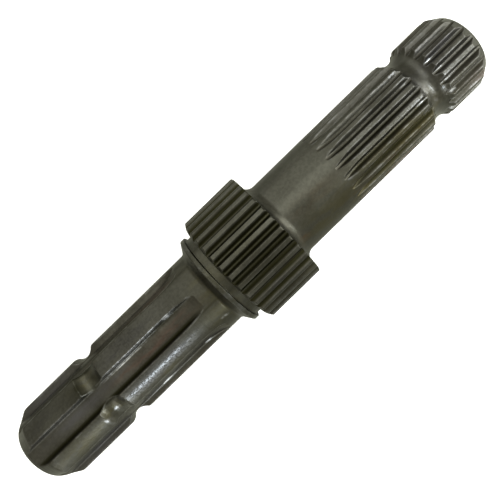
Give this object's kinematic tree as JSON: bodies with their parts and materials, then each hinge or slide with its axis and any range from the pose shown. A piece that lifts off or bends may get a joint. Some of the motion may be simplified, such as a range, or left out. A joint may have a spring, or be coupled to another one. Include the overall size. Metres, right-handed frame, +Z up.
{
  "type": "power take-off shaft",
  "caption": "Reversible power take-off stub shaft: straight-sided splines at one end, fine involute splines at the other, toothed collar, flange and ring groove between them.",
  "frame": {"origin": "on the shaft's axis, in the middle of the toothed collar, which is also the middle of the length", "axes": "+X along the axis towards the end with 21 fine splines, +Z up; the shaft lies on two teeth of its collar"},
  "size_m": [0.234, 0.0516, 0.0516],
  "materials": {
    "steel": "dark phosphate, oiled, with bare glints on the edges"
  },
  "bodies": {
    "root": {"pto_shaft": "steel"}
  },
  "joints": []
}
